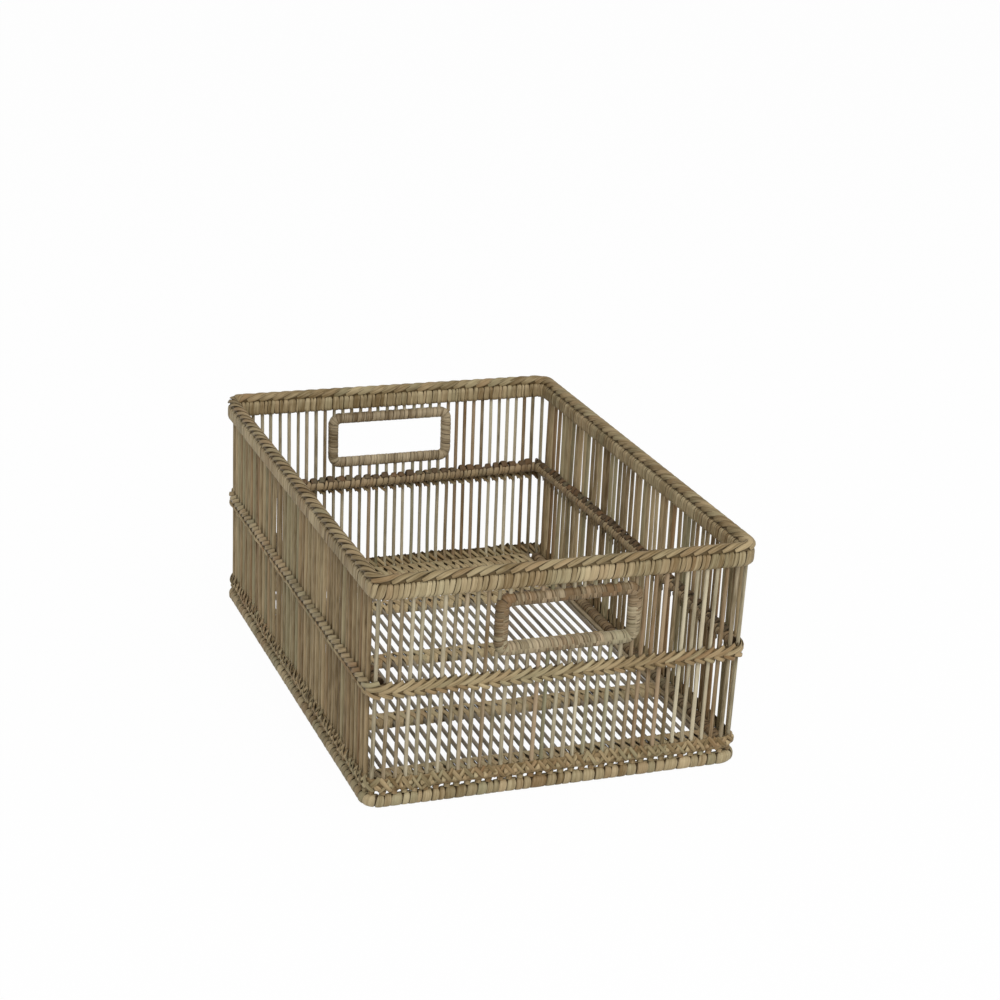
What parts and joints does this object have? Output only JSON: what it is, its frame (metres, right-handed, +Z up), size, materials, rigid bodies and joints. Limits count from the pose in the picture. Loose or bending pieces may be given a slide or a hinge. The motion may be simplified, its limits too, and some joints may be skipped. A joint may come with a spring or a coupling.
{
  "type": "open storage basket",
  "caption": "Open rectangular basket of upright rattan rods with a wrapped rim and foot, plaited bands, a rod base and a hand hole in each end wall.",
  "frame": {"origin": "centre of the footprint, on the surface that the foot hoop stands on", "axes": "+Z up through the open top, +Y along the long side walls towards the rear end wall, +X across to the right side wall"},
  "size_m": [0.3104, 0.4512, 0.1905],
  "materials": {
    "wall_rod_rattan": "matt, weathered grey-brown, each rod a slightly different tone",
    "base_rod_rattan": "matt, darker grey-brown",
    "rim_wrapping": "satin, light tan wrapping cane",
    "inner_wrapping": "matt, dark reddish-brown wrapping cane",
    "foot_wrapping": "matt, tan and brown wrapping cane",
    "handle_wrapping": "satin, pale grey-tan wrapping cane",
    "plaited_cane": "matt, tan split cane, plaited",
    "base_lashing": "matt, brown split cane",
    "core_rattan": "matt, plain rattan core"
  },
  "bodies": {
    "root": {"base_edge_strip_left": "inner_wrapping", "base_edge_strip_right": "inner_wrapping", "base_rods_left": "base_rod_rattan", "base_rods_middle": "base_rod_rattan", "base_rods_right": "base_rod_rattan", "bottom_plait": "plaited_cane", "corner_post_front_left": "wall_rod_rattan", "corner_post_front_right": "wall_rod_rattan", "corner_post_rear_left": "wall_rod_rattan", "corner_post_rear_right": "wall_rod_rattan", "cross_bar_front": "inner_wrapping", "cross_bar_middle": "inner_wrapping", "cross_bar_rear": "inner_wrapping", "cross_lashing_front": "base_lashing", "cross_lashing_middle": "base_lashing", "cross_lashing_rear": "base_lashing", "end_bar_front": "inner_wrapping", "end_bar_rear": "inner_wrapping", "end_lashing_front": "base_lashing", "end_lashing_rear": "base_lashing", "foot_hoop": "core_rattan", "foot_strip": "foot_wrapping", "foot_wrap": "foot_wrapping", "front_rods_above_handle": "wall_rod_rattan", "front_rods_below_handle": "wall_rod_rattan", "front_rods_left": "wall_rod_rattan", "front_rods_right": "wall_rod_rattan", "handle_frame_front": "core_rattan", "handle_frame_rear": "core_rattan", "handle_wrap_front": "handle_wrapping", "handle_wrap_rear": "handle_wrapping", "left_rods_bay_1": "wall_rod_rattan", "left_rods_bay_2": "wall_rod_rattan", "left_rods_bay_3": "wall_rod_rattan", "left_rods_bay_4": "wall_rod_rattan", "mid_plait": "plaited_cane", "mid_rail": "core_rattan", "mid_rail_wrap": "inner_wrapping", "rear_rods_above_handle": "wall_rod_rattan", "rear_rods_below_handle": "wall_rod_rattan", "rear_rods_left": "wall_rod_rattan", "rear_rods_right": "wall_rod_rattan", "right_rods_bay_1": "wall_rod_rattan", "right_rods_bay_2": "wall_rod_rattan", "right_rods_bay_3": "wall_rod_rattan", "right_rods_bay_4": "wall_rod_rattan", "rim_inner_hoop": "core_rattan", "rim_outer_hoop": "core_rattan", "rim_plait": "plaited_cane", "rim_wrap": "rim_wrapping", "side_rail_left": "core_rattan", "side_rail_right": "core_rattan", "side_rail_wrap_left": "foot_wrapping", "side_rail_wrap_right": "foot_wrapping"}
  },
  "joints": []
}
